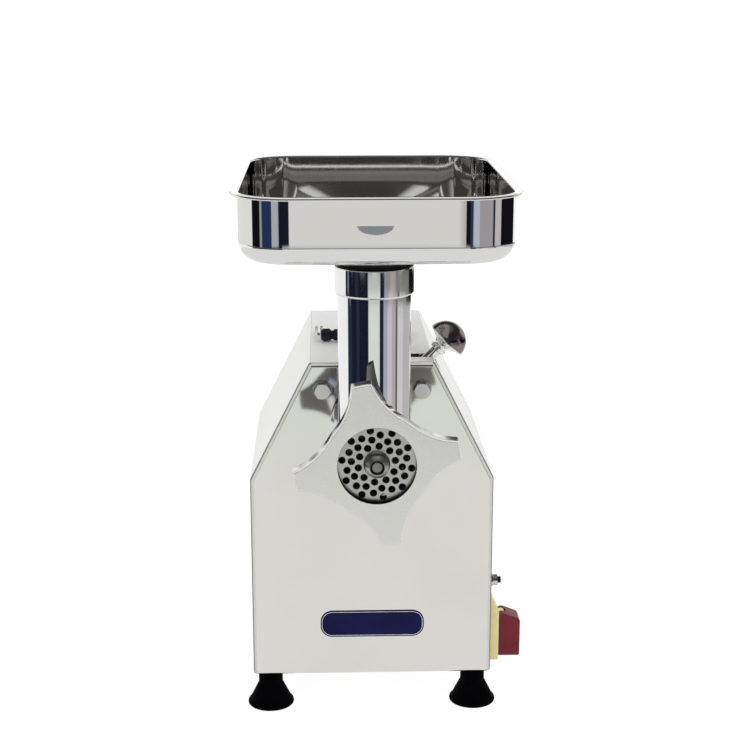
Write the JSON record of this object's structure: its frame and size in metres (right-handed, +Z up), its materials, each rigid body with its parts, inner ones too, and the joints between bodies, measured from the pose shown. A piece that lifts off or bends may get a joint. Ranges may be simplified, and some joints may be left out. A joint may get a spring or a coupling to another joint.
{
  "type": "electric meat grinder",
  "caption": "Table-top electric meat grinder: steel housing with motor and gear train, removable auger head with perforated plate and lobed ring nut, and a feed tray on top.",
  "frame": {"origin": "on the table, midway between the four feet and under the middle of the housing", "axes": "+X to the machine's right seen from the front, +Y towards its back, +Z up along the neck"},
  "size_m": [0.2498, 0.4453, 0.4951],
  "materials": {
    "housing_steel": "satin stainless sheet",
    "polished_steel": "mirror polished stainless",
    "satin_steel": "satin machined stainless",
    "zinc_steel": "bright zinc plated",
    "cast_aluminium": "as cast",
    "gear_steel": "machined, oiled",
    "motor_paint": "satin paint",
    "winding_pack": "varnished laminations",
    "black_rubber": "matte",
    "black_plastic": "fine texture",
    "yellow_plastic": "satin",
    "red_plastic": "semi-gloss",
    "green_plastic": "semi-gloss",
    "bronze": "machined",
    "badge_blue": "gloss enamel with a pale border"
  },
  "bodies": {
    "housing": {"housing_shell": "housing_steel", "rear_cover": "housing_steel", "rear_cover_screws": "zinc_steel", "base_plate": "housing_steel", "base_screws": "zinc_steel", "foot_front_left": "black_rubber", "foot_front_right": "black_rubber", "foot_rear_left": "black_rubber", "foot_rear_right": "black_rubber", "foot_screws": "zinc_steel", "badge": "badge_blue", "gearbox_casting": "cast_aluminium", "gearbox_cover": "cast_aluminium", "gearbox_screws": "zinc_steel", "panel_bolts": "satin_steel", "panel_washers": "satin_steel", "output_bearings": "gear_steel", "layshaft_bearings": "gear_steel", "motor_bearings": "gear_steel", "motor_casing": "motor_paint", "motor_stator": "winding_pack", "motor_front_bell": "cast_aluminium", "motor_rear_bell": "cast_aluminium", "motor_saddle": "zinc_steel", "start_capacitor": "black_plastic", "capacitor_clip": "zinc_steel", "cable_gland": "black_plastic", "switch_base": "yellow_plastic", "switch_block": "black_plastic", "flap_pin": "zinc_steel", "breaker": "black_plastic", "breaker_nut": "zinc_steel", "handle_brackets": "polished_steel", "handle_hinge_pins": "polished_steel"},
    "rotor": {"rotor_shaft": "gear_steel", "rotor_core": "winding_pack", "cooling_fan": "black_plastic"},
    "layshaft": {"layshaft": "gear_steel", "layshaft_gear": "gear_steel"},
    "output": {"output_shaft": "gear_steel", "output_gear": "gear_steel"},
    "head": {"head_barrel": "polished_steel", "head_neck": "polished_steel", "head_hub": "polished_steel", "grinding_plate": "satin_steel", "plate_hub": "satin_steel", "plate_pin": "satin_steel", "thrust_washer": "bronze"},
    "auger": {"auger": "polished_steel", "knife": "satin_steel"},
    "ring_nut": {"ring_nut": "satin_steel"},
    "tray": {"feed_tray": "polished_steel"},
    "locking_screw": {"locking_screw": "polished_steel", "locking_knob": "polished_steel"},
    "handle": {"handle_bail": "polished_steel", "handle_grip": "black_plastic"},
    "flap": {"switch_flap": "red_plastic"},
    "start_button": {"start_button": "green_plastic"},
    "stop_button": {"stop_button": "red_plastic"},
    "reset_button": {"reset_button": "black_plastic"}
  },
  "joints": [
    {"name": "rotor_spin", "type": "hinge", "parent": "housing", "child": "rotor", "pos_m": [0, 0, 0.16367], "axis": [0, 1, 0], "continuous": true},
    {"name": "layshaft_spin", "type": "hinge", "parent": "housing", "child": "layshaft", "pos_m": [0, 0, 0.21768], "axis": [0, 1, 0], "continuous": true},
    {"name": "output_spin", "type": "hinge", "parent": "housing", "child": "output", "pos_m": [0, 0, 0.2728], "axis": [0, 1, 0], "continuous": true},
    {"name": "head_slide", "type": "slide", "parent": "housing", "child": "head", "axis": [0, -1, 0], "range_m": [0, 0.06]},
    {"name": "auger_spin", "type": "hinge", "parent": "head", "child": "auger", "pos_m": [0, 0, 0.2728], "axis": [0, 1, 0], "continuous": true},
    {"name": "ring_nut_turn", "type": "hinge", "parent": "head", "child": "ring_nut", "pos_m": [0, -0.23, 0.2728], "axis": [0, -1, 0], "range_deg": [0, 945]},
    {"name": "tray_lift", "type": "slide", "parent": "head", "child": "tray", "axis": [0, 0, 1], "range_m": [0, 0.06]},
    {"name": "locking_screw_travel", "type": "slide", "parent": "housing", "child": "locking_screw", "axis": [0.7071, 0, 0.7071], "range_m": [0, 0.012]},
    {"name": "handle_fold", "type": "hinge", "parent": "housing", "child": "handle", "pos_m": [-0.0055, 0.005, 0.3293], "axis": [-1, 0, 0], "range_deg": [0, 90]},
    {"name": "switch_flap_hinge", "type": "hinge", "parent": "housing", "child": "flap", "pos_m": [0.1195, -0.082, 0.0809], "axis": [0, -1, 0], "range_deg": [0, 90]},
    {"name": "start_button_press", "type": "slide", "parent": "housing", "child": "start_button", "axis": [-1, 0, 0], "range_m": [0, 0.0015], "stiffness_N_per_m": 400},
    {"name": "stop_button_press", "type": "slide", "parent": "housing", "child": "stop_button", "axis": [-1, 0, 0], "range_m": [0, 0.0025], "stiffness_N_per_m": 400},
    {"name": "reset_button_press", "type": "slide", "parent": "housing", "child": "reset_button", "axis": [-1, 0, 0], "range_m": [0, 0.002], "stiffness_N_per_m": 400}
  ],
  "couplings": [
    {"joint": "layshaft_spin", "follows": "rotor_spin", "ratio": -0.33333},
    {"joint": "output_spin", "follows": "rotor_spin", "ratio": 0.13333},
    {"joint": "auger_spin", "follows": "rotor_spin", "ratio": 0.13333}
  ]
}
